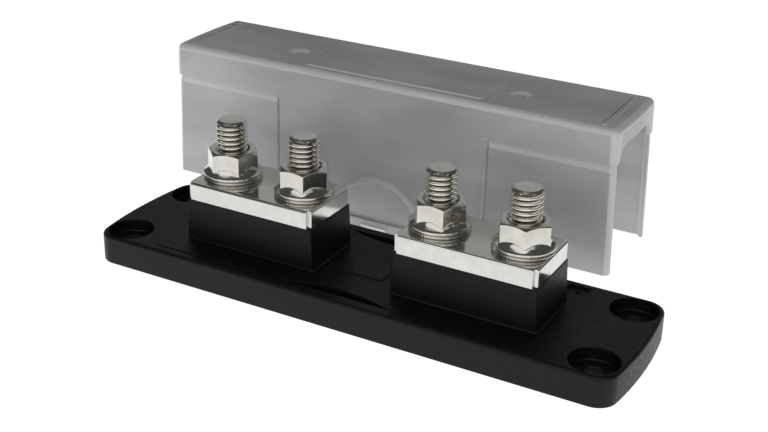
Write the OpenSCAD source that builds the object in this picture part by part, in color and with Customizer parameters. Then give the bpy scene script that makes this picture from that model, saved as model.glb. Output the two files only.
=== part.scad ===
// High-current fuse block with a separate snap-on insulating cover.
// X runs along the block, Y across it and Z up. The origin is the centre of the base's underside.

/* [Base] */
// Length of the base over the crown of its ends
base_l = 177.2; // [170:0.2:190]
// Width of the base
base_w = 49.2; // [46:0.2:56]
// Thickness of the base plate
base_h = 9.6; // [8:0.1:12]
// How far each end of the base bows outwards
end_crown = 1.2; // [1:0.1:4]
// Radius of the base's corners
corner_r = 6.2; // [3:0.1:7]

/* [Mounting holes] */
// Hole centres along the base
hole_span_x = 158.4; // [156:0.2:160]
// Hole centres across the base
hole_span_y = 33; // [30:0.2:33]
// Diameter of the screw hole
hole_d = 6.8; // [5:0.1:7]
// Diameter of the counterbore for the screw head
counterbore_d = 14.4; // [12:0.2:15]
// Depth of the counterbore
counterbore_depth = 4; // [2:0.5:6]

/* [Blocks] */
// Distance between the two inner studs, which is the pitch of the fuse's holes
fuse_pitch = 46.74; // [46:0.02:48]
// Distance between the two studs of one block
stud_pitch = 26.66; // [24:0.02:27]
// Length of a block at its foot
block_foot_l = 46.7; // [46:0.1:47]
// Length of a block at its top
block_top_l = 45.5; // [44:0.1:46]
// Width of a block
block_w = 23.3; // [22:0.1:23.5]
// Height of the cap plates' top face above the underside
plate_top_z = 29; // [26:0.1:30]

/* [Cap plates] */
// Length of a cap plate over its folded ends
plate_l = 45.1; // [44:0.1:45.4]
// Width of a cap plate over its folded sides
plate_w = 23.8; // [23.5:0.1:25]
// Thickness of the sheet
plate_t = 1.8; // [1.5:0.1:2]
// Height of the folded sides from the top face down
fold_h = 5.8; // [5:0.1:7]
// Outer radius of the folds
fold_r = 0.8; // [0.5:0.1:2]
// Distance of each fold's cut end from the corner
corner_gap = 1.2; // [1:0.1:2.2]

/* [Studs, nuts and washers] */
// Major diameter of the thread
thread_d = 9.525; // [9.525]
// Pitch of the thread
thread_pitch = 1.5875; // [1.5875]
// Length of a stud under its head
stud_l = 38.1; // [36:0.1:40]
// Height of the stud ends above the underside
stud_top_z = 48; // [46:0.1:50]
// Width across the flats of the nuts and the stud heads
hex_af = 14.29; // [14.29]
// Height of a stud head
head_h = 6; // [5:0.1:6.5]
// Height of a nut
nut_h = 8.4; // [8:0.1:8.8]
// Diameter of a nut's flange
flange_d = 18.6; // [18.4:0.1:19]
// Outer diameter of a washer
washer_d = 18.6; // [18:0.1:19]
// Thickness of a washer
washer_t = 1; // [0.8:0.1:1.2]

/* [Cover] */
// Length of the cover at its lower edge, over the crown of its ends
cover_l = 168.6; // [166:0.2:172]
// Width of the cover at its lower edge
cover_w = 37.4; // [36:0.2:38]
// Width of the cover at its top
cover_top_w = 36.8; // [36:0.2:37.4]
// Height of the cover from its lower edge to its top
cover_h = 48.9; // [46:0.1:50]
// Thickness of the cover's walls
cover_t = 1.8; // [1.5:0.1:2]
// Angle by which the cover's ends lean inwards
end_lean = 1.8; // [0:0.1:3]
// Height of the strip that closes the top of each end
end_strip_h = 6.3; // [4:0.1:8]
// Width of the lip at each side of an end's opening, from the cover's outside
end_lip = 3; // [2:0.1:5]
// How far the snap tabs reach below the cover's lower edge
tab_drop = 3.9; // [3:0.1:4]
// Where the cover stands beside the block, along X
cover_x = -21.3; // [-40:0.1:40]
// Where the cover stands behind the block, along Y
cover_y = 60.2; // [55:0.1:80]

/* [Hidden] */
$fn = 96;
// Sides of the widest arcs
wide_arc_fn = 256;
// Overlap that joins two solids of one piece
eps = 0.01;
// How far a cut runs past the face that it opens
past = 1;

// Blocks and studs, counted from the left: outer, inner, inner, outer
block_x = (fuse_pitch + stud_pitch) / 2;
stud_x = [-block_x - stud_pitch / 2, -fuse_pitch / 2, fuse_pitch / 2, block_x + stud_pitch / 2];
// Angle of one corner of each nut's hexagon, as the nuts were left when they were run down
nut_turn = [17, -2, 1, -7];

// The raised block fills the cap plate to this clearance
block_clearance = 0.15;
stud_hole_r = thread_d / 2 + 0.1;
plate_hole_r = thread_d / 2 + 0.3;
pocket_clearance = 0.15;
head_z = stud_top_z - stud_l;
potting_recess = 0.3;
hex_corner_r = hex_af / 2 / cos(30);

// Thread form: a 60 degree ridge with a flat crest and a flat root
thread_depth = 0.61 * thread_pitch;
thread_flat = 0.2;
shank_top_z = 22;
stud_chamfer = 0.8;
stud_neck = 0.2;
thread_count = floor((stud_top_z - stud_chamfer - shank_top_z) / thread_pitch);

// The nut and the washer clear the thread's crest
nut_bore_r = thread_d / 2 + 0.06;
washer_bore_r = thread_d / 2 + 0.3;
nut_z = plate_top_z + washer_t;
flange_rim_h = 1.1;
flange_slope_h = 1.7;
nut_crown_h = 1.1;
nut_crown_inset = 0.1;
nut_countersink = 0.6;

// Crescent slots in the base: an arc behind a straight chord
slot_half_l = 17.7;
slot_sagitta = 3.2;
slot_chord_y = 20.6;
slot_depth = 5;
slot_r = (slot_half_l * slot_half_l / slot_sagitta + slot_sagitta) / 2;

// Shallow recess near the rear edge
recess_x = 60.6;
recess_y = 19.2;
recess_l = 6.8;
recess_w = 5.4;
recess_depth = 0.8;

// Crescent pad with its snap tab in the middle of each long wall of the cover
pad_r = 19;
pad_proud = 1.4;
tab_half_l = 10.8;
tab_t = 1.3;
barb_half_l = 5.2;
barb_proud = 0.4;
barb_h = 1.6;
barb_top_h = 2.2;
barb_root = 0.2;

// Thinned break-out panels at the four ends of the cover's long walls
panel_x = 40.2;
panel_h = 35.8;
panel_depth = 0.7;
panel_bevel_h = 1;

cover_edge_r = 2;
cover_inner_edge_r = 1;
cover_crown = 0.6;
cover_end_r = (cover_w * cover_w / 4 / cover_crown + cover_crown) / 2;
arch_r = 7;

// Outline of a plate with bowed ends and rounded corners, built from true arcs
module crowned_outline(length, width, crown, r) {
    half_w = width / 2 - r;
    end_r = (half_w * half_w / crown + crown) / 2;
    end_centre_x = length / 2 - end_r;
    corner_x = end_centre_x + sqrt((end_r - r) * (end_r - r) - half_w * half_w);
    side = half_w / (corner_x - end_centre_x);
    square([2 * corner_x, width], center = true);
    for (sx = [-1, 1])
        scale([sx, 1]) {
            for (sy = [-1, 1])
                translate([corner_x, sy * half_w])
                    circle(r = r);
            intersection() {
                translate([end_centre_x, 0])
                    circle(r = end_r, $fn = wide_arc_fn);
                translate([end_centre_x, 0])
                    polygon([[0, 0], [2 * end_r, -2 * end_r * side], [2 * end_r, 2 * end_r * side]]);
            }
        }
}

// Segment of a circle between a chord at y = 0 and an arc that bulges towards -Y
module crescent(half_l, sagitta, arc_r) {
    intersection() {
        translate([0, arc_r - sagitta])
            circle(r = arc_r, $fn = wide_arc_fn);
        translate([-half_l - past, -sagitta - past])
            square([2 * (half_l + past), sagitta + past]);
    }
}

module raised_block() {
    foot_x = block_foot_l / 2;
    top_x = block_top_l / 2;
    fold_z = plate_top_z - fold_h;
    core_l = plate_l - 2 * (plate_t + block_clearance);
    core_w = plate_w - 2 * (plate_t + block_clearance);
    rotate([90, 0, 0])
        linear_extrude(height = block_w, center = true)
            polygon([
                [-foot_x, base_h - eps], [foot_x, base_h - eps],
                [top_x, fold_z], [-top_x, fold_z]
            ]);
    translate([-core_l / 2, -core_w / 2, fold_z - eps])
        cube([core_l, core_w, plate_top_z - plate_t - fold_z + eps]);
}

module base() {
    color([0.06, 0.06, 0.065])
        difference() {
            union() {
                linear_extrude(height = base_h)
                    crowned_outline(base_l, base_w, end_crown, corner_r);
                for (sx = [-1, 1])
                    translate([sx * block_x, 0, 0])
                        raised_block();
            }
            for (sx = [-1, 1], sy = [-1, 1])
                translate([sx * hole_span_x / 2, sy * hole_span_y / 2, 0]) {
                    translate([0, 0, -past])
                        cylinder(d = hole_d, h = base_h + 2 * past);
                    translate([0, 0, base_h - counterbore_depth])
                        cylinder(d = counterbore_d, h = counterbore_depth + past);
                }
            for (x = stud_x)
                translate([x, 0, 0]) {
                    translate([0, 0, -past])
                        cylinder(r = stud_hole_r, h = plate_top_z + 2 * past);
                    translate([0, 0, -past])
                        cylinder(r = hex_corner_r + pocket_clearance, h = head_z + past, $fn = 6);
                }
            for (sy = [-1, 1])
                scale([1, sy, 1])
                    translate([0, slot_chord_y, base_h - slot_depth])
                        linear_extrude(height = slot_depth + past)
                            crescent(slot_half_l, slot_sagitta, slot_r);
            translate([recess_x - recess_l / 2, recess_y - recess_w / 2, base_h - recess_depth])
                cube([recess_l, recess_w, recess_depth + past]);
        }
}

// Folded section of a cap plate: a channel open at the bottom, with rounded folds
module folded_section(width) {
    half = width / 2;
    inner = half - plate_t;
    difference() {
        union() {
            translate([-half + fold_r, -fold_r])
                square([width - 2 * fold_r, fold_r]);
            translate([-half, -fold_h])
                square([width, fold_h - fold_r]);
            for (s = [-1, 1])
                translate([s * (half - fold_r), -fold_r])
                    circle(r = fold_r);
        }
        translate([-inner, -fold_h - past])
            square([2 * inner, fold_h + past - plate_t]);
    }
}

module cap_plate(x) {
    color([0.78, 0.78, 0.74])
        translate([x, 0, plate_top_z])
            difference() {
                union() {
                    rotate([90, 0, 0])
                        linear_extrude(height = plate_w - 2 * corner_gap, center = true)
                            folded_section(plate_l);
                    rotate([90, 0, 90])
                        linear_extrude(height = plate_l - 2 * corner_gap, center = true)
                            folded_section(plate_w);
                }
                translate([-plate_l / 2 + plate_t, -plate_w / 2 + plate_t, -fold_h - past])
                    cube([plate_l - 2 * plate_t, plate_w - 2 * plate_t, fold_h + past - plate_t]);
                for (s = [-1, 1])
                    translate([s * stud_pitch / 2, 0, -plate_t - past])
                        cylinder(r = plate_hole_r, h = plate_t + 2 * past);
            }
}

// Half profile of the threaded stud: shank, ridges one pitch apart, chamfered end
function ridge(i) =
    let (
        crest_r = thread_d / 2,
        root_r = crest_r - thread_depth,
        z = stud_top_z - stud_chamfer - (thread_count - i) * thread_pitch,
        middle = thread_pitch / 2
    )
    [[root_r, z + thread_flat / 2], [crest_r, z + middle - thread_flat / 2],
     [crest_r, z + middle + thread_flat / 2], [root_r, z + thread_pitch - thread_flat / 2]];

module stud(x) {
    ridges = [for (i = [0 : thread_count - 1]) each ridge(i)];
    color([0.72, 0.71, 0.67])
        translate([x, 0, 0]) {
            rotate_extrude()
                polygon(concat(
                    [[0, head_z - eps], [thread_d / 2, head_z - eps], [thread_d / 2, shank_top_z]],
                    ridges,
                    [[thread_d / 2 - stud_neck, stud_top_z - stud_chamfer],
                     [thread_d / 2 - stud_chamfer, stud_top_z], [0, stud_top_z]]
                ));
            translate([0, 0, head_z - head_h])
                cylinder(r = hex_corner_r, h = head_h, $fn = 6);
        }
}

module potting(x) {
    color([0.16, 0.12, 0.08])
        translate([x, 0, potting_recess])
            cylinder(r = hex_corner_r + pocket_clearance, h = head_z - head_h - potting_recess, $fn = 6);
}

module washer(x) {
    color([0.7, 0.69, 0.65])
        translate([x, 0, plate_top_z])
            difference() {
                cylinder(d = washer_d, h = washer_t);
                translate([0, 0, -past])
                    cylinder(r = washer_bore_r, h = washer_t + 2 * past);
            }
}

// Hex nut with a chamfered crown, standing on a sloped round flange
module nut(x, turn) {
    flange_r = flange_d / 2;
    color([0.75, 0.74, 0.7])
        translate([x, 0, nut_z])
            rotate([0, 0, turn])
                difference() {
                    union() {
                        intersection() {
                            cylinder(r = hex_corner_r, h = nut_h, $fn = 6);
                            rotate_extrude()
                                polygon([
                                    [0, 0], [flange_r, 0], [flange_r, nut_h - nut_crown_h],
                                    [hex_af / 2 - nut_crown_inset, nut_h], [0, nut_h]
                                ]);
                        }
                        rotate_extrude()
                            polygon([
                                [0, 0], [flange_r, 0], [flange_r, flange_rim_h],
                                [hex_af / 2, flange_rim_h + flange_slope_h], [0, flange_rim_h + flange_slope_h]
                            ]);
                    }
                    translate([0, 0, -past])
                        cylinder(r = nut_bore_r, h = nut_h + 2 * past);
                    translate([0, 0, nut_h - nut_countersink])
                        cylinder(r1 = nut_bore_r, r2 = nut_bore_r + nut_countersink + past,
                                 h = nut_countersink + past);
                }
}

// Cross-section of the cover's shell, set in by "inset", with its lower edge at y = 0
module cover_section(inset, edge_r) {
    low = cover_w / 2 - inset;
    high = cover_top_w / 2 - inset;
    top = cover_h - inset;
    difference() {
        union() {
            polygon([
                [-low, 0], [low, 0], [high, top - edge_r], [high - edge_r, top],
                [-high + edge_r, top], [-high, top - edge_r]
            ]);
            for (s = [-1, 1])
                translate([s * (high - edge_r), top - edge_r])
                    circle(r = edge_r);
        }
        translate([-low, -2 * edge_r])
            square([2 * low, 2 * edge_r]);
    }
}

// Everything on the inner side of one bowed and leaning end
module within_end(side, inset) {
    scale([side, 1, 1])
        translate([cover_l / 2 - inset, 0, 0])
            rotate([0, -end_lean, 0])
                translate([-cover_end_r, 0, -cover_h])
                    cylinder(r = cover_end_r, h = 3 * cover_h, $fn = wide_arc_fn);
}

// A solid bar of the section that runs from end to end
module cover_bar(inset, edge_r) {
    intersection() {
        rotate([90, 0, 90])
            linear_extrude(height = cover_l, center = true)
                cover_section(inset, edge_r);
        within_end(-1, inset);
        within_end(1, inset);
    }
}

// Round-shouldered opening in both ends
module end_arch() {
    half = cover_top_w / 2 - end_lip;
    top = cover_h - end_strip_h;
    rotate([90, 0, 90])
        linear_extrude(height = cover_l + 2 * past, center = true) {
            translate([-half, -past])
                square([2 * half, top - arch_r + past]);
            translate([-half + arch_r, -past])
                square([2 * (half - arch_r), top + past]);
            for (s = [-1, 1])
                translate([s * (half - arch_r), top - arch_r])
                    circle(r = arch_r);
        }
}

// Disc segment on a long wall, its circle centred on the tab's lower edge
module pad_disc(r, from_y, to_y) {
    intersection() {
        translate([0, from_y, -tab_drop])
            rotate([-90, 0, 0])
                cylinder(r = r, h = to_y - from_y, $fn = wide_arc_fn);
        translate([-r, from_y, 0])
            cube([2 * r, to_y - from_y, r]);
    }
}

module snap_pad() {
    wall_y = cover_w / 2;
    intersection() {
        union() {
            pad_disc(pad_r, wall_y - cover_t, wall_y + pad_proud);
            translate([-tab_half_l, wall_y + pad_proud - tab_t, -tab_drop])
                cube([2 * tab_half_l, tab_t, tab_drop + cover_t]);
            translate([0, wall_y + pad_proud, -tab_drop])
                rotate([90, 0, -90])
                    linear_extrude(height = 2 * barb_half_l, center = true)
                        polygon([
                            [barb_root, 0], [barb_root, barb_top_h], [0, barb_top_h],
                            [-barb_proud, barb_h], [0, 0]
                        ]);
        }
        translate([-pad_r, 0, -tab_drop])
            cube([2 * pad_r, wall_y + pad_proud + barb_proud, pad_r]);
    }
}

// A break-out panel's shallow recess, on the outside of one end of a long wall
module panel_recess() {
    wall_y = cover_w / 2;
    lean = (cover_w - cover_top_w) / 2 * panel_h / cover_h;
    rotate([90, 0, 90])
        translate([0, 0, panel_x])
            linear_extrude(height = cover_l / 2 - panel_x + past)
                polygon([
                    [wall_y - panel_depth, -past], [wall_y + past, -past],
                    [wall_y + past, panel_h + past], [wall_y - lean, panel_h + panel_bevel_h],
                    [wall_y - lean - panel_depth, panel_h]
                ]);
}

module cover_at_seat() {
    difference() {
        union() {
            cover_bar(0, cover_edge_r);
            for (s = [-1, 1])
                scale([1, s, 1])
                    snap_pad();
        }
        cover_bar(cover_t, cover_inner_edge_r);
        end_arch();
        for (s = [-1, 1])
            scale([1, s, 1])
                pad_disc(pad_r - cover_t, cover_w / 2 - cover_t - past, cover_w / 2 + pad_proud - cover_t);
        for (sx = [-1, 1], sy = [-1, 1])
            scale([sx, sy, 1])
                panel_recess();
    }
}

module cover() {
    color([0.62, 0.63, 0.65, 0.6])
        translate([cover_x, cover_y, tab_drop])
            cover_at_seat();
}

base();
cap_plate(-block_x);  // cap_plate_left
cap_plate(block_x);  // cap_plate_right
stud(stud_x[0]);  // stud_left_outer
stud(stud_x[1]);  // stud_left_inner
stud(stud_x[2]);  // stud_right_inner
stud(stud_x[3]);  // stud_right_outer
potting(stud_x[0]);  // potting_left_outer
potting(stud_x[1]);  // potting_left_inner
potting(stud_x[2]);  // potting_right_inner
potting(stud_x[3]);  // potting_right_outer
washer(stud_x[0]);  // washer_left_outer
washer(stud_x[1]);  // washer_left_inner
washer(stud_x[2]);  // washer_right_inner
washer(stud_x[3]);  // washer_right_outer
nut(stud_x[0], nut_turn[0]);  // nut_left_outer
nut(stud_x[1], nut_turn[1]);  // nut_left_inner
nut(stud_x[2], nut_turn[2]);  // nut_right_inner
nut(stud_x[3], nut_turn[3]);  // nut_right_outer
cover();
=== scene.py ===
"""Looks of a class T fuse block and its insulating cover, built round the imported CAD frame.

Shapes are made in millimetres in the frame's own axes and scaled to metres at the end.
"""
import math

import bmesh
import bpy
from mathutils import Matrix, Vector


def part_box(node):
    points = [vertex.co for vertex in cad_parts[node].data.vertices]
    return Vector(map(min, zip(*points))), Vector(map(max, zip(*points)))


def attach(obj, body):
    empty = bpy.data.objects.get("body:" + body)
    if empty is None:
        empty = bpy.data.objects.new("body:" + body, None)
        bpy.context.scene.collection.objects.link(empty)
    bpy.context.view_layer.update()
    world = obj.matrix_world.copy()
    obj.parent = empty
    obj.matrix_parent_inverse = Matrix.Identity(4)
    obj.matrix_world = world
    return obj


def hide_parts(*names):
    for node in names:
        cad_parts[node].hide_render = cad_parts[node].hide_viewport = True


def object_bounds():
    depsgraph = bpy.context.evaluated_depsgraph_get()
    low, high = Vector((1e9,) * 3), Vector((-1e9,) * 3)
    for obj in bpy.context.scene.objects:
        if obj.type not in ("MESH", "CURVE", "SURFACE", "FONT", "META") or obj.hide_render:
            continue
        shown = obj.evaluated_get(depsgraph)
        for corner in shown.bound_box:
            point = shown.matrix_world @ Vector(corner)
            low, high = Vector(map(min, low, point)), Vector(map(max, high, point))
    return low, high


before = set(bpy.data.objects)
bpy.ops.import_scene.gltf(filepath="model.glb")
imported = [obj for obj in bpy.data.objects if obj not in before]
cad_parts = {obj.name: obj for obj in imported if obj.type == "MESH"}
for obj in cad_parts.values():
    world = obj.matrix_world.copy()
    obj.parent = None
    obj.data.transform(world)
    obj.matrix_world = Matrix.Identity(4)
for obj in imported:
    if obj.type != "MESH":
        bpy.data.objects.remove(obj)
cad_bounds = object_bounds()

MM = 0.001
FLOOR_GAP = 0.00005
# How far a cutting tool reaches past the surface that it opens, and how far its faces keep off a flat one
PAST = 1
SHY = 0.01
STATIONS = ("left_outer", "left_inner", "right_inner", "right_outer")

# Base moulding
BASE_L = 177.2
BASE_W = 49.2
BASE_TOP = 9.6
END_CROWN = 1.2
CORNER_R = 6.2
TOP_EDGE_R = 1.1
LOWER_EDGE_R = 0.4
HOLE_X = 79.2
HOLE_Y = 16.5
HOLE_R = 3.4
COUNTERBORE_R = 7.2
COUNTERBORE_DEPTH = 4.0
RIM_R = 0.35
BLOCK_FOOT_L = 46.7
BLOCK_TOP_L = 45.5
BLOCK_W = 23.3
BLOCK_CORNER_R = 0.5
BLOCK_FILLET = 0.5
BLOCK_SHOULDER = 0.25
CORE_INSET = 2.0
SLOT_HALF_L = 17.7
SLOT_SAGITTA = 3.2
SLOT_CHORD_Y = 20.6
SLOT_DEPTH = 5.0
SLOT_RIM = 0.3
RECESS_AT = (60.6, 19.2)
RECESS_SIZE = (6.8, 5.4)
RECESS_DEPTH = 0.8
RECESS_CORNER_R = 0.8
RECESS_EDGE = 0.15
STUD_HOLE_R = 4.9
HEAD_POCKET_R = 8.4
HEAD_POCKET_TOP = 9.9
PAD_HEIGHT = 0.25
PAD_CORNER_R = 1.2
FRONT_PAD_HALF = (19.5, 3.4)
MIDDLE_PAD_HALF = (8.0, 6.4)
EJECTOR_MARKS = ((68, 0), (37, 19), (37, -19), (8, 0))
EJECTOR_R = 3.2
EJECTOR_DEPTH = 0.2

# Cap plates
SHEET_T = 1.8
FOLD_H = 5.8
FOLD_R = 0.8
INNER_FOLD_R = 0.3
CORNER_GAP = 1.2
PLATE_HOLE_R = 5.06
PLATE_HOLE_CHAMFER = 0.25
PLATE_BEVEL = 0.18

# Studs, nuts and washers
THREAD_R = 4.7625
THREAD_PITCH = 1.5875
THREAD_DEPTH = 0.98
THREAD_FROM_Z = 20.0
THREAD_STEPS = 14
STUD_CHAMFER = 0.8
HEX_AF = 14.29
HEAD_H = 6.0
NUT_TURN = {"left_outer": 17, "left_inner": -2, "right_inner": 1, "right_outer": -7}
NUT_BORE_R = 4.83
NUT_CORNER_R = 0.3
FLANGE_RIM_H = 1.1
FLANGE_TOP_H = 2.9
WASHER_TEETH = 60
WASHER_TOOTH = 0.05
WASHER_BORE_R = THREAD_R + 0.35

# Cover, in its own axes: the middle of its lower edge is the origin
COVER_L = 168.6
COVER_W = 37.4
COVER_TOP_W = 36.8
COVER_H = 48.9
COVER_WALL = 1.8
COVER_CROWN = 0.6
COVER_CORNER_R = 2.4
COVER_INNER_CORNER_R = 1.0
LOWER_CORNER_R = 2.0
END_STEP = 0.4
END_CUT_PAST = 1.5
COVER_EDGE_R = 2.0
COVER_INNER_EDGE_R = 0.8
COVER_LOWER_EDGE_R = 0.4
COVER_BEVEL = 0.35
END_LEAN = math.tan(math.radians(1.8))
SIDE_LEAN = (COVER_W - COVER_TOP_W) / 2 / COVER_H
END_LIP = 3.0
END_STRIP_H = 6.3
ARCH_R = 7.0
TAB_DROP = 3.9
TAB_HALF_L = 10.8
TAB_RISE = 1.8
TAB_CORNER_R = 0.9
TAB_INSET = 0.1
TAB_EDGE = 0.2
BARB_HALF_L = 5.2
PAD_CENTRE_Z = -2.7
PAD_BOTTOM_Z = 0.07
PAD_R = 17.9
PAD_PROUD = 1.4
PAD_FLOOR = 1.0
PANEL_X = 39.9
PANEL_TOP = 37.4
PANEL_RAMP = 34.8
PANEL_DEPTH = 0.7
SCORE_DEPTH = 1.4
SCORE_W = 1.3
SLIT_TOP = 17.0
SLIT_DEPTH = 1.65
BADGE_AT = (2.0, -3.6)
BADGE_HALF = (33.0, 11.0)
BADGE_PROUD = 0.4
BADGE_CORNER_R = 1.5
DIMPLE_X = (-40.0, 44.0)
DIMPLE_Y = -3.4
DIMPLE_R = 3.2
BEAD_X = 76.6
BEAD_Y = -1.0
BEAD_HALF = (0.8, 14.5)
BEAD_CORNER_R = 0.75

# Edges sharper than this many degrees are bevelled
BEVEL_ANGLE = 50
CORNER_STEPS = 10
END_STEPS = 24
ROUND_STEPS = 4
CIRCLE_STEPS = 72


# ---------------------------------------------------------------- shapes

def box_mm(node):
    low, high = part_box(node)
    return low / MM, high / MM


def centre_mm(node):
    low, high = box_mm(node)
    return (low + high) / 2


def arc(centre, radius, start, end, steps):
    """Points along a circular arc, its angles in degrees."""
    angles = [math.radians(start + (end - start) * i / steps) for i in range(steps + 1)]
    return [(centre[0] + radius * math.cos(a), centre[1] + radius * math.sin(a)) for a in angles]


def crowned_outline(length, width, crown, corner, inset=0.0):
    """Outline of a plate with bowed ends and rounded corners, moved in by inset."""
    half_w = width / 2 - corner
    end_r = (half_w ** 2 / crown + crown) / 2
    end_x = length / 2 - end_r
    corner_x = end_x + math.sqrt((end_r - corner) ** 2 - half_w ** 2)
    tilt = math.degrees(math.asin(half_w / (end_r - corner)))
    half = arc((corner_x, -half_w), corner - inset, -90, -tilt, CORNER_STEPS)
    half += arc((end_x, 0), end_r - inset, -tilt, tilt, END_STEPS)[1:-1]
    half += arc((corner_x, half_w), corner - inset, tilt, 90, CORNER_STEPS)
    return half + [(-x, -y) for x, y in half]


def rounded_rectangle(half_x, half_y, corner, steps=ROUND_STEPS):
    """Outline of a rectangle with rounded corners."""
    half = arc((half_x - corner, -half_y + corner), corner, -90, 0, steps)
    half += arc((half_x - corner, half_y - corner), corner, 0, 90, steps)
    return half + [(-x, -y) for x, y in half]


def hexagon(corner_r):
    """Outline of a hexagon with a corner on +X."""
    return arc((0, 0), corner_r, 0, 300, 5)


def crescent_outline(spread):
    """Outline of a cover slot, its arc bulging towards -Y, moved outwards by spread."""
    radius = (SLOT_HALF_L ** 2 / SLOT_SAGITTA + SLOT_SAGITTA) / 2
    centre_y = radius - SLOT_SAGITTA
    half = math.degrees(math.acos((centre_y - spread) / (radius + spread)))
    return arc((0, centre_y), radius + spread, 270 - half, 270 + half, END_STEPS)


def ring(outline, z, centre=(0, 0)):
    return [(centre[0] + x, centre[1] + y, z) for x, y in outline]


def quarter_turn():
    """Angles from 0 to 90 degrees, in radians, for a rounded edge."""
    return [math.radians(90 * i / ROUND_STEPS) for i in range(ROUND_STEPS + 1)]


def edge_steps(low, high, low_r, high_r):
    """(height, inset) pairs up a wall whose lower and upper edges are rounded."""
    angles = quarter_turn()
    lower = [(low + low_r * (1 - math.cos(a)), low_r * (1 - math.sin(a))) for a in angles]
    upper = [(high - high_r * (1 - math.cos(a)), high_r * (1 - math.sin(a))) for a in reversed(angles)]
    return lower + upper


def softened(corners):
    """A closed profile with each corner (x, z, radius) replaced by a short curve."""
    points = []
    for i, (x, z, radius) in enumerate(corners):
        here = Vector((x, z))
        before = Vector(corners[i - 1][:2]) - here
        after = Vector(corners[(i + 1) % len(corners)][:2]) - here
        reach = min(radius, before.length * 0.45, after.length * 0.45)
        start = here + before.normalized() * reach
        end = here + after.normalized() * reach
        for step in range(ROUND_STEPS + 1):
            t = step / ROUND_STEPS
            points.append(start * (1 - t) ** 2 + here * 2 * t * (1 - t) + end * t ** 2)
    return points


def skin(bm, rows, closed_rows=True, wrap=False, caps=False):
    """Faces between neighbouring rows of points. Closed rows join their ends, and wrap joins the last row
    to the first."""
    verts = [[bm.verts.new(point) for point in row] for row in rows]
    pairs = list(zip(verts, verts[1:]))
    if wrap:
        pairs.append((verts[-1], verts[0]))
    count = len(verts[0])
    for low, high in pairs:
        for i in range(count if closed_rows else count - 1):
            j = (i + 1) % count
            bm.faces.new((low[i], low[j], high[j], high[i]))
    if caps:
        bm.faces.new(list(reversed(verts[0])))
        bm.faces.new(verts[-1])


def turned(bm, centre, profile, steps=CIRCLE_STEPS):
    """A closed ring turned round a vertical axis from a closed profile of (radius, height)."""
    rows = []
    for i in range(steps):
        angle = 2 * math.pi * i / steps
        rows.append([
            (centre[0] + r * math.cos(angle), centre[1] + r * math.sin(angle), z) for r, z in profile
        ])
    skin(bm, rows, wrap=True)


def new_object(name, bm):
    bmesh.ops.remove_doubles(bm, verts=bm.verts, dist=1e-4)
    bmesh.ops.recalc_face_normals(bm, faces=bm.faces)
    mesh = bpy.data.meshes.new(name)
    bm.to_mesh(mesh)
    bm.free()
    obj = bpy.data.objects.new(name, mesh)
    bpy.context.scene.collection.objects.link(obj)
    return obj


def apply_modifiers(obj):
    depsgraph = bpy.context.evaluated_depsgraph_get()
    mesh = bpy.data.meshes.new_from_object(obj.evaluated_get(depsgraph))
    obj.modifiers.clear()
    obj.data = mesh


def boolean(obj, bm, operation):
    """Joins the shape in bm to obj, or cuts it away."""
    tool = new_object("tool", bm)
    modifier = obj.modifiers.new("boolean", "BOOLEAN")
    modifier.operation = operation
    modifier.solver = "EXACT"
    modifier.object = tool
    apply_modifiers(obj)
    bpy.data.objects.remove(tool)


def bevel(obj, width, angle):
    modifier = obj.modifiers.new("bevel", "BEVEL")
    modifier.width = width
    modifier.segments = 2
    modifier.limit_method = "ANGLE"
    modifier.angle_limit = math.radians(angle)
    modifier.use_clamp_overlap = False
    modifier.miter_outer = "MITER_ARC"
    apply_modifiers(obj)


def finish_piece(obj, body, nodes, surface, sharp_angle=35):
    """Scales a piece to metres, smooths its shading and hands it to the frame."""
    obj.data.transform(Matrix.Scale(MM, 4))
    obj.data.materials.clear()
    obj.data.materials.append(surface)
    for polygon in obj.data.polygons:
        polygon.use_smooth = True
        polygon.material_index = 0
    obj.data.set_sharp_from_angle(angle=math.radians(sharp_angle))
    weighted = obj.modifiers.new("weighted_normals", "WEIGHTED_NORMAL")
    weighted.keep_sharp = True
    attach(obj, body)
    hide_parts(*nodes)


# ---------------------------------------------------------------- materials

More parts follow.
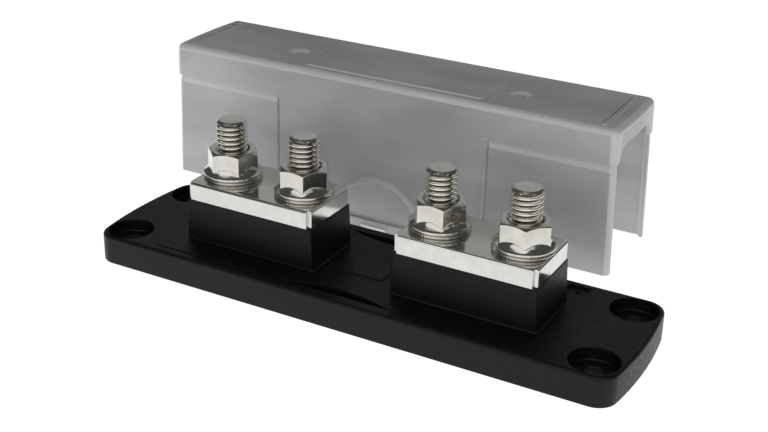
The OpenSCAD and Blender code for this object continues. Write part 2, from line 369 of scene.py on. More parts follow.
class Surface:
    """A Principled material and the nodes that give it detail, in the object's own coordinates."""

    def __init__(self, name, **values):
        self.material = bpy.data.materials.new(name)
        self.material.use_nodes = True
        self.tree = self.material.node_tree
        self.shader = self.tree.nodes["Principled BSDF"]
        for socket, value in values.items():
            self.shader.inputs[socket.replace("_", " ").title().replace("Ior", "IOR")].default_value = value
        self.coordinates = self.tree.nodes.new("ShaderNodeTexCoord").outputs["Object"]

    def link(self, output, target):
        self.tree.links.new(output, target)

    def stretched(self, scale):
        """The object's coordinates, scaled along each axis."""
        mapping = self.tree.nodes.new("ShaderNodeMapping")
        mapping.inputs["Scale"].default_value = scale
        self.link(self.coordinates, mapping.inputs["Vector"])
        return mapping.outputs["Vector"]

    def noise(self, scale, detail=3, roughness=0.5, vector=None):
        texture = self.tree.nodes.new("ShaderNodeTexNoise")
        texture.inputs["Scale"].default_value = scale
        texture.inputs["Detail"].default_value = detail
        texture.inputs["Roughness"].default_value = roughness
        self.link(vector or self.coordinates, texture.inputs["Vector"])
        return texture.outputs["Fac"]

    def remap(self, value, low, high, source=(0.3, 0.7)):
        node = self.tree.nodes.new("ShaderNodeMapRange")
        node.inputs["From Min"].default_value = source[0]
        node.inputs["From Max"].default_value = source[1]
        node.inputs["To Min"].default_value = low
        node.inputs["To Max"].default_value = high
        self.link(value, node.inputs["Value"])
        return node.outputs["Result"]

    def mix_towards(self, factor, colour):
        """A mix node that turns into colour as factor rises."""
        node = self.tree.nodes.new("ShaderNodeMix")
        node.data_type = "RGBA"
        node.inputs["B"].default_value = (*colour, 1)
        self.link(factor, node.inputs["Factor"])
        return node

    def blend_colours(self, factor, first, second):
        node = self.mix_towards(factor, second)
        node.inputs["A"].default_value = (*first, 1)
        return node.outputs["Result"]

    def laid_over(self, factor, below, colour):
        """A colour laid over another node's output by factor."""
        node = self.mix_towards(factor, colour)
        self.link(below, node.inputs["A"])
        return node.outputs["Result"]

    def attribute(self, name):
        """A number stored on the mesh."""
        node = self.tree.nodes.new("ShaderNodeAttribute")
        node.attribute_name = name
        return node.outputs["Fac"]

    def bump(self, height, distance, below=None):
        node = self.tree.nodes.new("ShaderNodeBump")
        node.inputs["Strength"].default_value = 1
        node.inputs["Distance"].default_value = distance
        self.link(height, node.inputs["Height"])
        if below:
            self.link(below, node.inputs["Normal"])
        return node.outputs["Normal"]

    def colour(self, output):
        self.link(output, self.shader.inputs["Base Color"])

    def roughness(self, output):
        self.link(output, self.shader.inputs["Roughness"])

    def normal(self, output):
        self.link(output, self.shader.inputs["Normal"])


def black_plastic():
    """Satin glass-filled black plastic with a fine spark-eroded texture."""
    surface = Surface("black_plastic", specular_ior_level=0.22)
    cloud = surface.noise(90, detail=4)
    surface.colour(surface.blend_colours(cloud, (0.003, 0.003, 0.0033), (0.006, 0.006, 0.0063)))
    grain = surface.noise(5200, detail=2)
    surface.roughness(surface.remap(surface.noise(700, detail=5), 0.36, 0.5))
    waves = surface.bump(surface.noise(160, detail=2), 0.00004)
    surface.normal(surface.bump(grain, 0.000012, below=waves))
    return surface.material


def metal(name, colours, polish, streaks, streak_depth, ripple):
    """A plated or stainless metal between two colours and two roughnesses, with faint drawn streaks and
    uneven polish, and with painted shade laid dark where the mesh marks a thread's root."""
    surface = Surface(name, metallic=0.95)
    cloud = surface.noise(260, detail=5)
    clean = surface.blend_colours(surface.remap(cloud, 0, 1), *colours)
    # Painted shade: near-black laid over the colour in the thread's roots, where shade falls between the
    # flanks.
    surface.colour(surface.laid_over(surface.attribute("root"), clean, (0.03, 0.027, 0.022)))
    lines = surface.noise(1, detail=4, roughness=0.6, vector=surface.stretched(streaks))
    surface.roughness(surface.remap(lines, *polish))
    uneven = surface.bump(surface.noise(ripple, detail=2), 0.00003)
    surface.normal(surface.bump(lines, streak_depth, below=uneven))
    return surface.material


def resin():
    """Dark glossy potting resin with a slightly uneven surface."""
    surface = Surface("potting_resin", specular_ior_level=0.5)
    cloud = surface.noise(300, detail=3)
    surface.colour(surface.blend_colours(cloud, (0.02, 0.012, 0.007), (0.035, 0.022, 0.013)))
    surface.roughness(surface.remap(surface.noise(900, detail=3), 0.12, 0.3))
    surface.normal(surface.bump(surface.noise(220, detail=2), 0.00012))
    return surface.material


def frosted_plastic():
    """Smoke-grey translucent plastic, frosted by a fine mould texture, with a painted highlight that makes it
    paler along its edges and end lips.
    """
    surface = Surface("frosted_plastic", ior=1.5, transmission_weight=0.26, specular_ior_level=0.5)
    flow = surface.remap(surface.noise(1, detail=3, vector=surface.stretched((24, 60, 60))), 0, 1)
    smoke = surface.blend_colours(flow, (0.48, 0.48, 0.49), (0.68, 0.68, 0.69))
    # Painted highlight: a paler colour laid on the faces that the mesh marks as rounded edges, ramps and end
    # lips.
    surface.colour(surface.laid_over(surface.attribute("rim"), smoke, (0.78, 0.78, 0.79)))
    surface.roughness(surface.remap(surface.noise(420, detail=5), 0.29, 0.33))
    waves = surface.bump(surface.noise(45, detail=2), 0.00004)
    surface.normal(surface.bump(surface.noise(4200, detail=2), 0.000002, below=waves))
    return surface.material


def floor_paper():
    """White backlit acrylic of a light table."""
    surface = Surface("floor_paper", roughness=0.9, specular_ior_level=0.1, emission_strength=0.9)
    surface.shader.inputs["Emission Color"].default_value = (1, 1, 1, 1)
    fibres = surface.noise(900, detail=4)
    surface.colour(surface.blend_colours(fibres, (0.54, 0.54, 0.54), (0.56, 0.56, 0.56)))
    surface.normal(surface.bump(fibres, 0.00001))
    return surface.material


# ---------------------------------------------------------------- base

def block_levels(top):
    """Outlines up one raised block: a fillet at its foot, a slight taper and a core inside the cap plate."""
    fold_z = top - FOLD_H
    foot_l = BLOCK_FOOT_L / 2
    foot_w = BLOCK_W / 2
    levels = [(foot_l + BLOCK_FILLET, foot_w + BLOCK_FILLET, BASE_TOP - PAST)]
    for angle in quarter_turn():
        flare = BLOCK_FILLET * (1 - math.sin(angle))
        height = BASE_TOP + BLOCK_FILLET * (1 - math.cos(angle))
        levels.append((foot_l + flare, foot_w + flare, height))
    return levels + block_shoulder(fold_z)


def block_shoulder(fold_z):
    """The block's top edge under the cap plate's rim, and the core that fills the plate."""
    top_l = BLOCK_TOP_L / 2
    top_w = BLOCK_W / 2
    core_l = top_l - CORE_INSET
    core_w = top_w - CORE_INSET
    core_top = fold_z + FOLD_H - SHEET_T
    return [
        (top_l, top_w, fold_z - BLOCK_SHOULDER),
        (top_l - BLOCK_SHOULDER, top_w - BLOCK_SHOULDER, fold_z),
        (core_l, core_w, fold_z),
        (core_l, core_w, core_top),
    ]


def base_body():
    """The base plate with both raised blocks, before its holes are cut."""
    bm = bmesh.new()
    rows = []
    for z, inset in edge_steps(0, BASE_TOP, LOWER_EDGE_R, TOP_EDGE_R):
        rows.append(ring(crowned_outline(BASE_L, BASE_W, END_CROWN, CORNER_R, inset), z))
    skin(bm, rows, caps=True)
    obj = new_object("moulded_base", bm)
    blocks = bmesh.new()
    for side in ("left", "right"):
        centre = centre_mm("cap_plate_" + side)
        top = box_mm("cap_plate_" + side)[1].z
        rows = []
        for half_x, half_y, z in block_levels(top):
            rows.append(ring(rounded_rectangle(half_x, half_y, BLOCK_CORNER_R), z, centre))
        skin(blocks, rows, caps=True)
    boolean(obj, blocks, "UNION")
    return obj


def mounting_hole_profile():
    """Stepped screw hole: a counterbore with a rounded rim over a clear hole."""
    floor = BASE_TOP - COUNTERBORE_DEPTH
    rim = [
        (COUNTERBORE_R + RIM_R * (1 - math.sin(a)), BASE_TOP + SHY - RIM_R * (1 - math.cos(a)))
        for a in quarter_turn()
    ]
    return [(0, BASE_TOP + PAST), (COUNTERBORE_R + RIM_R, BASE_TOP + PAST)] + rim + [
        (COUNTERBORE_R - 0.05, floor + 0.3), (COUNTERBORE_R - 0.35, floor),
        (HOLE_R + 0.3, floor), (HOLE_R, floor - 0.3),
        (HOLE_R, 0.4), (HOLE_R + 0.4, 0), (HOLE_R + 0.4, -PAST), (0, -PAST),
    ]


def base_cutters():
    """Everything that is cut out of the base from above."""
    bm = bmesh.new()
    for sx in (-1, 1):
        for sy in (-1, 1):
            turned(bm, (sx * HOLE_X, sy * HOLE_Y), mounting_hole_profile())
    for sy in (-1, 1):
        rows = []
        for z, spread in [
            (BASE_TOP - SLOT_DEPTH, 0), (BASE_TOP - SLOT_RIM, 0),
            (BASE_TOP - 0.1, 0.08), (BASE_TOP + SHY, SLOT_RIM), (BASE_TOP + PAST, SLOT_RIM),
        ]:
            outline = [(x * sy, (y + SLOT_CHORD_Y) * sy) for x, y in crescent_outline(spread)]
            rows.append(ring(outline, z))
        skin(bm, rows, caps=True)
    rows = []
    recess_floor = BASE_TOP - RECESS_DEPTH
    for z, spread in [
        (recess_floor, -RECESS_EDGE), (recess_floor + RECESS_EDGE, 0),
        (BASE_TOP - RECESS_EDGE, 0), (BASE_TOP + SHY, RECESS_EDGE), (BASE_TOP + PAST, RECESS_EDGE),
    ]:
        half_x, half_y = (size / 2 + spread for size in RECESS_SIZE)
        rows.append(ring(rounded_rectangle(half_x, half_y, RECESS_CORNER_R + spread), z, RECESS_AT))
    skin(bm, rows, caps=True)
    return bm


def stud_cutters():
    """The bores for the studs, right through the blocks."""
    bm = bmesh.new()
    above = box_mm("base")[1].z + PAST
    for station in STATIONS:
        centre = centre_mm("stud_" + station)
        turned(bm, centre, [(0, -PAST), (STUD_HOLE_R, -PAST), (STUD_HOLE_R, above), (0, above)])
    return bm


def pocket_cutters():
    """The hexagonal pockets for the studs' heads, in the underside."""
    bm = bmesh.new()
    corners = hexagon(HEAD_POCKET_R)
    mouth = hexagon(HEAD_POCKET_R * 1.05)
    for station in STATIONS:
        centre = centre_mm("stud_" + station)
        skin(bm, [
            ring(mouth, -PAST, centre), ring(mouth, 0, centre),
            ring(corners, 0.4, centre), ring(corners, HEAD_POCKET_TOP, centre),
        ], caps=True)
    return bm


def raised_pads():
    """Low blank pads on the base, in place of its raised lettering, and the small boss in the recess."""
    bm = bmesh.new()
    left_block = centre_mm("cap_plate_left")
    front = box_mm("base")[0].y
    for centre, (half_x, half_y) in [
        ((left_block.x - 10, front + 6.6), FRONT_PAD_HALF),
        ((0, 0), MIDDLE_PAD_HALF),
    ]:
        rows = []
        for z, inset in [(-0.5, 0), (0.12, 0), (PAD_HEIGHT, 0.15)]:
            outline = rounded_rectangle(half_x - inset, half_y - inset, PAD_CORNER_R - inset)
            rows.append(ring(outline, BASE_TOP + z, centre))
        skin(bm, rows, caps=True)
    boss = [(0, -0.6), (0.7, -0.6), (0.7, -0.5), (0.5, -0.35), (0, -0.3)]
    turned(bm, RECESS_AT, [(r, BASE_TOP + z) for r, z in boss], steps=24)
    return bm


def ejector_marks():
    """Shallow round marks that the mould's ejector pins leave on the underside."""
    profile = [
        (0, -PAST), (EJECTOR_R, -PAST), (EJECTOR_R, 0.02),
        (EJECTOR_R - 0.2, EJECTOR_DEPTH), (0, EJECTOR_DEPTH),
    ]
    bm = bmesh.new()
    for sx in (-1, 1):
        for x, y in EJECTOR_MARKS:
            turned(bm, (sx * x, y), profile, steps=40)
    return bm


def make_base(surface):
    obj = base_body()
    boolean(obj, base_cutters(), "DIFFERENCE")
    boolean(obj, stud_cutters(), "DIFFERENCE")
    boolean(obj, pocket_cutters(), "DIFFERENCE")
    boolean(obj, raised_pads(), "UNION")
    boolean(obj, ejector_marks(), "DIFFERENCE")
    finish_piece(obj, "block", ["base"], surface)


# ---------------------------------------------------------------- cap plates

def channel_profile(width):
    """Closed section of a sheet folded down at both sides, its top at height 0."""
    half = width / 2
    inner_half = half - SHEET_T - INNER_FOLD_R
    outer = arc((half - FOLD_R, -FOLD_R), FOLD_R, 90, 0, 8)
    inner = arc((inner_half, -SHEET_T - INNER_FOLD_R), INNER_FOLD_R, 0, 90, 4)
    right = outer + [(half, -FOLD_H), (half - SHEET_T, -FOLD_H)] + inner
    left = [(-x, z) for x, z in reversed(right)]
    return right + left


def make_cap_plate(side, surface):
    """A sheet cap: two folded channels that cross, with open corners and two stud holes."""
    node = "cap_plate_" + side
    low, high = box_mm(node)
    centre = (low + high) / 2
    length = high.x - low.x
    width = high.y - low.y
    bm = bmesh.new()
    reach = length / 2 - CORNER_GAP
    profile = channel_profile(width)
    skin(bm, [[(centre.x + s * reach, y, high.z + z) for y, z in profile] for s in (-1, 1)], caps=True)
    obj = new_object("pressed_cap_" + side, bm)
    bm = bmesh.new()
    reach = width / 2 - CORNER_GAP
    profile = channel_profile(length)
    skin(bm, [[(centre.x + x, s * reach, high.z + z) for x, z in profile] for s in (-1, 1)], caps=True)
    boolean(obj, bm, "UNION")
    bm = bmesh.new()
    for position in ("outer", "inner"):
        stud = centre_mm("stud_" + side + "_" + position)
        mouth_r = PLATE_HOLE_R + PLATE_HOLE_CHAMFER
        turned(bm, stud, [
            (0, high.z - 5), (PLATE_HOLE_R, high.z - 5), (PLATE_HOLE_R, high.z - 0.2),
            (mouth_r, high.z + 0.05), (mouth_r, high.z + PAST), (0, high.z + PAST),
        ])
    boolean(obj, bm, "DIFFERENCE")
    bevel(obj, PLATE_BEVEL, BEVEL_ANGLE)
    finish_piece(obj, "block", [node], surface)


# ---------------------------------------------------------------- studs, washers and nuts

def thread_radius(phase):
    """Radius of a rolled thread at a fraction of its pitch: a flat root, straight flanks, a rounded crest."""
    rise = 1 - abs(2 * phase - 1)
    share = min(max((rise - 0.1) / 0.65, 0), 1)
    smooth = share * share * (3 - 2 * share)
    return THREAD_R - THREAD_DEPTH * (1 - 0.8 * share - 0.2 * smooth)


def mark_root_shade(obj, centre, below):
    """Stores how deep each point lies in the thread, for the painted shade that the material lays in its
    roots.
    """
    root = obj.data.attributes.new("root", "FLOAT", "POINT")
    for vertex in obj.data.vertices:
        radius = math.hypot(vertex.co.x - centre.x, vertex.co.y - centre.y)
        depth = (THREAD_R - radius) / THREAD_DEPTH
        root.data[vertex.index].value = min(max(2 * depth - 1, 0), 1) if vertex.co.z < below else 0.0


def make_stud(station, surface):
    """A hexagon-headed stud with a helical thread and a chamfered end."""
    node = "stud_" + station
    low, high = box_mm(node)
    centre = (low + high) / 2
    turns = math.ceil((high.z - THREAD_FROM_Z) / THREAD_PITCH) + 1
    shank_top = THREAD_FROM_Z - 0.5
    end_r = THREAD_R - STUD_CHAMFER * 1.1
    columns = []
    for i in range(CIRCLE_STEPS + 1):
        share = i / CIRCLE_STEPS
        angle = 2 * math.pi * share
        column = [(THREAD_R, low.z + HEAD_H), (THREAD_R, shank_top)]
        for step in range(turns * THREAD_STEPS):
            z = THREAD_FROM_Z + (step / THREAD_STEPS + share - 1) * THREAD_PITCH
            chamfer_r = max(end_r + (high.z - z), end_r)
            radius = min(thread_radius(step / THREAD_STEPS % 1), chamfer_r)
            column.append((radius, min(max(z, shank_top), high.z)))
        column.append((0, high.z))
        columns.append([
            (centre.x + r * math.cos(angle), centre.y + r * math.sin(angle), z) for r, z in column
        ])
    bm = bmesh.new()
    skin(bm, columns, closed_rows=False)
    corner_r = HEX_AF / 2 / math.cos(math.radians(30))
    head = hexagon(corner_r)
    skin(bm, [
        ring(hexagon(corner_r * 0.94), low.z, centre),
        ring(head, low.z + 0.5, centre),
        ring(head, low.z + HEAD_H, centre),
    ], caps=True)
    bmesh.ops.remove_doubles(bm, verts=bm.verts, dist=1e-3)
    bmesh.ops.dissolve_degenerate(bm, edges=bm.edges, dist=1e-4)
    obj = new_object("threaded_stud_" + station, bm)
    # Painted shade: the deeper parts of the thread are marked so that the material can darken them.
    mark_root_shade(obj, centre, high.z - STUD_CHAMFER)
    finish_piece(obj, "block", [node], surface, sharp_angle=50)


def make_washer(station, surface):
    """A thin washer with a finely serrated rim."""
    node = "washer_" + station
    low, high = box_mm(node)
    centre = (low + high) / 2
    outer = (high.x - low.x) / 2
    steps = WASHER_TEETH * 4
    rows = []
    for i in range(steps):
        angle = 2 * math.pi * i / steps
        rim_r = outer - (WASHER_TOOTH if i % 4 in (0, 1) else 0)
        profile = softened([
            (WASHER_BORE_R, low.z, 0.1), (outer - 0.3, low.z, 0.1), (rim_r, low.z + 0.3, 0.1),
            (rim_r, high.z - 0.35, 0.1), (outer - 0.35, high.z, 0.2), (WASHER_BORE_R, high.z, 0.1),
        ])
        rows.append([
            (centre.x + r * math.cos(angle), centre.y + r * math.sin(angle), z) for r, z in profile
        ])
    bm = bmesh.new()
    skin(bm, rows, wrap=True)
    obj = new_object("serrated_" + node, bm)
    finish_piece(obj, node, [node], surface)


def hexagon_reach(offset, apothem, corner):
    """Distance to a rounded hexagon's side, at an angle in radians from the nearest corner."""
    sixth = math.radians(30)
    hub = (apothem - corner) / math.cos(sixth)
    tangent = math.atan2(corner * math.sin(sixth), hub + corner * math.cos(sixth))
    if abs(offset) < tangent:
        return hub * math.cos(offset) + math.sqrt(corner ** 2 - (hub * math.sin(offset)) ** 2)
    return apothem / math.cos(sixth - abs(offset))


def nut_profile(reach, rim_r, bottom, top):
    """Closed section of a flange nut at one angle, as (radius, height, rounding), where the hexagon's side
    is at the radius reach."""
    apothem = HEX_AF / 2
    slope = (FLANGE_TOP_H - FLANGE_RIM_H) / (rim_r - apothem)
    rim_z = bottom + FLANGE_RIM_H
    foot_z = rim_z + slope * (rim_r - reach)
    face_r = apothem - 0.25
    chamfer_z = top - (reach - face_r) * math.tan(math.radians(30))
    return softened([
        (NUT_BORE_R, bottom + 0.5, 0.05), (NUT_BORE_R + 0.5, bottom, 0.05),
        (rim_r - 0.35, bottom, 0.1), (rim_r, bottom + 0.35, 0.25), (rim_r, rim_z - 0.1, 0.3),
        (rim_r - 0.45, rim_z + 0.15, 0.3), (reach, foot_z, 1.2),
        (reach, chamfer_z, 0.16), (face_r, top, 0.12),
        (NUT_BORE_R + 0.75, top, 0.1), (NUT_BORE_R, top - 0.75, 0.05),
    ])


def make_nut(station, surface):
    """A hexagon flange nut with a chamfered crown."""
    node = "nut_" + station
    low, high = box_mm(node)
    centre = (low + high) / 2
    rim_r = (high.x - low.x) / 2
    offsets = sorted({-30, -1.6, -0.8, 0.8, 1.6} | {3 * i for i in range(-9, 10)})
    rows = []
    for sector in range(6):
        for offset in offsets:
            angle = math.radians(60 * sector + offset + NUT_TURN[station])
            reach = hexagon_reach(math.radians(offset), HEX_AF / 2, NUT_CORNER_R)
            rows.append([
                (centre.x + r * math.cos(angle), centre.y + r * math.sin(angle), z)
                for r, z in nut_profile(reach, rim_r, low.z, high.z)
            ])
    bm = bmesh.new()
    skin(bm, rows, wrap=True)
    obj = new_object("flange_" + node, bm)
    finish_piece(obj, node, [node], surface, sharp_angle=40)


def make_potting(station, surface):
    """A cast plug of resin with a meniscus where it wets the pocket."""
    node = "potting_" + station
    low, high = box_mm(node)
    centre = (low + high) / 2
    corner_r = (high.x - low.x) / 2
    rows = [ring(hexagon(corner_r), high.z, centre)]
    for share, rise in [(1, 0), (0.97, 0.12), (0.92, 0.22), (0.8, 0.3), (0.5, 0.33), (0.1, 0.34)]:
        rows.append(ring(hexagon(corner_r * share), low.z + rise, centre))
    bm = bmesh.new()
    skin(bm, rows, caps=True)
    obj = new_object("cast_" + node, bm)
    finish_piece(obj, "block", [node], surface)


# ---------------------------------------------------------------- cover

def cover_row(z, wall, corner, inset):
    """Outline of the cover at one height, moved in by the wall's thickness for its inside."""
    length = COVER_L - 2 * wall - 2 * END_LEAN * z
    width = COVER_W - 2 * wall - 2 * SIDE_LEAN * z
    return ring(crowned_outline(length, width, COVER_CROWN, corner, inset), z)


def mirrored(rows, sx, sy):
    return [[(sx * x, sy * y, z) for x, y, z in row] for row in rows]


def wall_y(z):
    """Distance of a long wall's outer face from the cover's middle."""
    return COVER_W / 2 - SIDE_LEAN * z


def end_openings():
    """The round-shouldered opening of both ends, as one bar."""
    half = COVER_TOP_W / 2 - END_LIP
    top = COVER_H - END_STRIP_H
    arch = [(-half, -PAST), (half, -PAST)]
    arch += arc((half - ARCH_R, top - ARCH_R), ARCH_R, 0, 90, CORNER_STEPS)
    arch += arc((-half + ARCH_R, top - ARCH_R), ARCH_R, 90, 180, CORNER_STEPS)
    bm = bmesh.new()
    skin(bm, [[(s * COVER_L, y, z) for y, z in arch] for s in (-1, 1)], caps=True)
    return bm


def cover_shell():
    """The cover's hollow shell with its open, arched ends."""
    bm = bmesh.new()
    outer = edge_steps(0, COVER_H, COVER_LOWER_EDGE_R, COVER_EDGE_R)
    skin(bm, [cover_row(z, 0, COVER_CORNER_R, inset) for z, inset in outer], caps=True)
    obj = new_object("clear_cover", bm)
    bm = bmesh.new()
    inner = edge_steps(-PAST, COVER_H - COVER_WALL, 0, COVER_INNER_EDGE_R)
    skin(bm, [cover_row(z, COVER_WALL, COVER_INNER_CORNER_R, inset) for z, inset in inner], caps=True)
    boolean(obj, bm, "DIFFERENCE")
    boolean(obj, end_openings(), "DIFFERENCE")
    return obj


def pad_disc(profile, floor_z):
    """The part above floor_z of a disc on the +Y wall, from (radius, distance) steps."""
    rows = []
    for radius, y in profile:
        reach = math.degrees(math.asin((floor_z - PAD_CENTRE_Z) / radius))
        rows.append([(x, y, z) for x, z in arc((0, PAD_CENTRE_Z), radius, reach, 180 - reach, 40)])
    return rows


def snap_pads():
    """A rimmed crescent pad on each long wall."""
    face = COVER_W / 2
    bm = bmesh.new()
    for sy in (-1, 1):
        rows = pad_disc([
            (PAD_R, face - PAST), (PAD_R, face), (PAD_R - 0.3, face + PAD_PROUD * 0.75),
            (PAD_R - 0.7, face + PAD_PROUD), (PAD_R - 1.4, face + PAD_PROUD - 0.05),
            (PAD_R - 1.8, face + PAD_FLOOR),
        ], PAD_BOTTOM_Z)
        skin(bm, mirrored(rows, 1, sy), caps=True)
    return bm


def pad_hollows():
    """The hollow behind each pad, on the inside of its wall."""
    radius = PAD_R - COVER_WALL
    inside = COVER_W / 2 - COVER_WALL - PAST
    hollow_end = COVER_W / 2 - 0.45
    bm = bmesh.new()
    for sy in (-1, 1):
        rows = pad_disc([(radius, inside), (radius, hollow_end)], -0.5)
        skin(bm, mirrored(rows, 1, sy), caps=True)
    return bm


def snap_tabs():
    """The tabs under the pads, each with a barb along its middle."""
    outer = COVER_W / 2 + PAD_FLOOR - 0.1
    inner = COVER_W / 2 + TAB_INSET
    bm = bmesh.new()
    for sy in (-1, 1):
        rows = []
        for y, spread in [
            (inner, -TAB_EDGE), (inner + TAB_EDGE, 0), (outer - TAB_EDGE, 0), (outer, -TAB_EDGE),
        ]:
            half_z = (TAB_DROP + TAB_RISE) / 2 + spread
            middle = (TAB_RISE - TAB_DROP) / 2
            outline = rounded_rectangle(TAB_HALF_L + spread, half_z, TAB_CORNER_R + spread)
            rows.append([(x, y, middle + z) for x, z in outline])
        skin(bm, mirrored(rows, 1, sy), caps=True)
    return bm


def barbs():
    """The wedge along the middle of each tab, its section in (distance out, height above the tab's end)."""
    tab_y = COVER_W / 2 + PAD_FLOOR - 0.2
    section = [
        (tab_y + y, z - TAB_DROP)
        for y, z in [(-0.3, 0.1), (0.1, 0.1), (0.9, 1.6), (0.8, 1.8), (0.1, 2.2), (-0.3, 2.2)]
    ]
    rows = [[(s * BARB_HALF_L, y, z) for y, z in section] for s in (-1, 1)]
    bm = bmesh.new()
    for sy in (-1, 1):
        skin(bm, mirrored(rows, 1, sy), caps=True)
    return bm


def four_corners(rows):
    """One tool at each of the four ends of the two long walls."""
    bm = bmesh.new()
    for sx in (-1, 1):
        for sy in (-1, 1):
            skin(bm, mirrored(rows, sx, sy), caps=True)
    return bm


def break_out_recess():
    """A panel's recess, deepest along the score at its top and carried round the corner into the end lip."""
    out = COVER_W / 2 + PAST
    lip_y = COVER_W / 2 - END_LIP - END_CUT_PAST
    end_x = COVER_L / 2 - COVER_CROWN
    rows = []
    for z, depth in [
        (-PAST, PANEL_DEPTH), (PANEL_RAMP, PANEL_DEPTH),
        (PANEL_TOP - 0.3, SCORE_DEPTH), (PANEL_TOP - 0.15, SCORE_DEPTH), (PANEL_TOP, 0),
    ]:
        side = wall_y(z) - depth
        end = end_x - min(depth, END_STEP) - END_LEAN * z
        outline = [(COVER_L, out), (PANEL_X, out), (PANEL_X, side)]
        outline += arc((end - LOWER_CORNER_R, side - LOWER_CORNER_R), LOWER_CORNER_R, 90, 0, 6)
        rows.append(ring(outline + [(end, lip_y), (COVER_L, lip_y)], z))
    return four_corners(rows)


def break_out_score():
    """The sloped groove down a panel's inner side."""
    out = COVER_W / 2 + PAST
    near_x = PANEL_X - SCORE_W
    far_x = PANEL_X + 0.05
    rows = []
    for z in (-PAST, PANEL_TOP):
        face = wall_y(z)
        deep = face - SCORE_DEPTH + 0.2
        rows.append([
            (near_x, out, z), (near_x, face, z), (PANEL_X - 0.4, deep, z), (far_x, deep, z), (far_x, out, z),
        ])
    return four_corners(rows)


def break_out_slit():
    """The narrow, deeper line in the lower half of a panel's inner side."""
    out = COVER_W / 2 + PAST
    deep = COVER_W / 2 - SLIT_DEPTH
    near_x = PANEL_X - 0.45
    far_x = PANEL_X + 0.1
    rows = []
    for z in (-PAST, SLIT_TOP):
        rows.append([(near_x, out, z), (near_x, deep, z), (far_x, deep, z), (far_x, out, z)])
    return four_corners(rows)


def top_badge():
    """A blank raised badge in place of the lettering, and a bead across the top near each end."""
    bm = bmesh.new()
    rows = []
    for z, inset in [(-0.6, 0), (BADGE_PROUD - 0.15, 0), (BADGE_PROUD, 0.2)]:
        outline = rounded_rectangle(BADGE_HALF[0] - inset, BADGE_HALF[1] - inset, BADGE_CORNER_R - inset)
        rows.append(ring(outline, COVER_H + z, BADGE_AT))
    skin(bm, rows, caps=True)
    for sx in (-1, 1):
        rows = []
        for z, inset in [(-0.6, 0), (0.02, 0), (0.14, 0.15), (0.18, 0.35)]:
            outline = rounded_rectangle(BEAD_HALF[0] - inset, BEAD_HALF[1] - inset, BEAD_CORNER_R - inset)
            rows.append(ring(outline, COVER_H + z, (sx * BEAD_X, BEAD_Y)))
        skin(bm, rows, caps=True)
    return bm


def top_dimples():
    """Shallow round dimples on either side of the badge."""
    profile = [
        (0, PAST), (DIMPLE_R + 0.5, PAST), (DIMPLE_R + 0.5, SHY), (DIMPLE_R, -0.12),
        (DIMPLE_R - 0.5, -0.5), (DIMPLE_R - 1.2, -0.72), (0, -0.8),
    ]
    bm = bmesh.new()
    for x in DIMPLE_X:
        turned(bm, (x, DIMPLE_Y), [(r, COVER_H + z) for r, z in profile], steps=48)
    return bm


def mark_painted_rim_highlight(obj):
    """Stores which faces belong to the cover's rounded edges, ramps and end lips, for the painted highlight
    that the material lays on them.
    """
    lip_y = COVER_TOP_W / 2 - END_LIP
    flat = 0.985
    rim = obj.data.attributes.new("rim", "FLOAT", "FACE")
    for polygon in obj.data.polygons:
        normal = polygon.normal
        slanted = max(abs(normal.x), abs(normal.y), abs(normal.z)) < flat
        score = abs(normal.z) < 0.1 and abs(abs(polygon.center.x) - PANEL_X) < 2
        end_lip = abs(normal.x) > 0.9 and abs(polygon.center.y) > lip_y
        rim.data[polygon.index].value = 1.0 if end_lip or slanted and not score else 0.0


def make_cover(surface):
    """The cover as it stands on its tabs behind the block."""
    low, high = box_mm("cover")
    middle = (low + high) / 2
    obj = cover_shell()
    boolean(obj, snap_pads(), "UNION")
    boolean(obj, snap_tabs(), "UNION")
    boolean(obj, barbs(), "UNION")
    boolean(obj, pad_hollows(), "DIFFERENCE")
    boolean(obj, break_out_recess(), "DIFFERENCE")
    boolean(obj, break_out_score(), "DIFFERENCE")
    boolean(obj, break_out_slit(), "DIFFERENCE")
    boolean(obj, top_badge(), "UNION")
    boolean(obj, top_dimples(), "DIFFERENCE")
    bevel(obj, COVER_BEVEL, BEVEL_ANGLE)
    # Painted highlight: marks the faces that the material paints paler.
    mark_painted_rim_highlight(obj)
    obj.data.transform(Matrix.Translation((middle.x, middle.y, low.z + TAB_DROP)))
    finish_piece(obj, "cover", ["cover"], surface)


# ---------------------------------------------------------------- stage

def softbox(name, at, size, power):
    """A soft white lamp aimed at the frame's origin."""
    light = bpy.data.lights.new(name, "AREA")
    light.shape = "RECTANGLE"
    light.size = size[0]
    light.size_y = size[1]
    light.energy = power
    obj = bpy.data.objects.new(name, light)
    obj.location = at
    obj.rotation_euler = (-Vector(at)).to_track_quat("-Z", "Y").to_euler()
    bpy.context.scene.collection.objects.link(obj)


def make_floor():
    """The light table, just under the lowest point of the CAD."""
    bm = bmesh.new()
    bmesh.ops.create_grid(bm, x_segments=8, y_segments=8, size=4)
    mesh = bpy.data.meshes.new("floor")
    bm.to_mesh(mesh)
    bm.free()
    floor = bpy.data.objects.new("floor", mesh)
    bpy.context.scene.collection.objects.link(floor)
    floor.location.z = cad_bounds[0][2] - FLOOR_GAP
    mesh.materials.append(floor_paper())


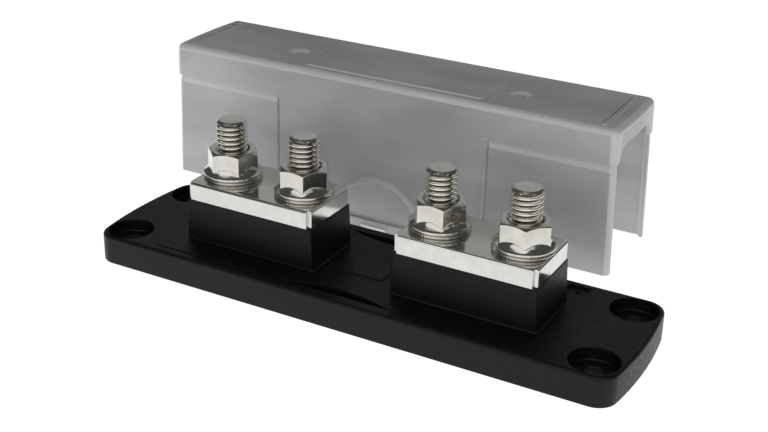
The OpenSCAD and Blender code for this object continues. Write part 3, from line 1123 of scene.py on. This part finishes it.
def make_camera():
    """The photographer's place: slightly above, and to the right of the block's front."""
    camera = bpy.data.cameras.new("camera")
    camera.sensor_width = 36
    camera.lens = 59.59
    camera.shift_x = -0.005
    camera.shift_y = -0.0124
    camera.clip_start = 0.01
    obj = bpy.data.objects.new("camera", camera)
    azimuth, elevation, roll = (math.radians(a) for a in (28.39, 24.37, 1.33))
    place = Matrix.Translation((0.1698, -0.3032, 0.1875))
    turn = Matrix.Rotation(azimuth, 4, "Z") @ Matrix.Rotation(math.pi / 2 - elevation, 4, "X")
    obj.matrix_world = place @ turn @ Matrix.Rotation(roll, 4, "Z")
    bpy.context.scene.collection.objects.link(obj)
    bpy.context.scene.camera = obj


def make_world():
    world = bpy.data.worlds.new("studio")
    world.use_nodes = True
    background = world.node_tree.nodes["Background"]
    background.inputs["Color"].default_value = (1, 1, 1, 1)
    background.inputs["Strength"].default_value = 0.06
    bpy.context.scene.world = world
    bpy.context.scene.view_settings.view_transform = "Standard"


# ---------------------------------------------------------------- assembly

make_camera()
make_world()
make_floor()
softbox("key", (0.1, -0.9, 0.65), (1.5, 1.2), 6)
softbox("side", (0.8, -0.5, 0.5), (0.6, 0.8), 0.9)
softbox("back", (-0.3, 0.9, 0.75), (1.6, 1.0), 1.6)

make_base(black_plastic())
plating = metal(
    "tin_plating", colours=[(0.62, 0.62, 0.58), (0.69, 0.69, 0.65)], polish=(0.07, 0.16),
    streaks=(2500, 90, 90), streak_depth=0.000003, ripple=120,
)
for side in ("left", "right"):
    make_cap_plate(side, plating)
stud_metal = metal(
    "stud_steel", colours=[(0.64, 0.62, 0.56), (0.76, 0.74, 0.68)], polish=(0.1, 0.2),
    streaks=(300, 300, 3000), streak_depth=0.000003, ripple=500,
)
nut_metal = metal(
    "nut_steel", colours=[(0.56, 0.55, 0.50), (0.66, 0.65, 0.60)], polish=(0.08, 0.18),
    streaks=(2200, 2200, 200), streak_depth=0.000004, ripple=350,
)
washer_metal = metal(
    "washer_steel", colours=[(0.48, 0.46, 0.41), (0.60, 0.58, 0.53)], polish=(0.14, 0.28),
    streaks=(900, 900, 900), streak_depth=0.000006, ripple=500,
)
plug_resin = resin()
for station in STATIONS:
    make_stud(station, stud_metal)
    make_washer(station, washer_metal)
    make_nut(station, nut_metal)
    make_potting(station, plug_resin)
make_cover(frosted_plastic())
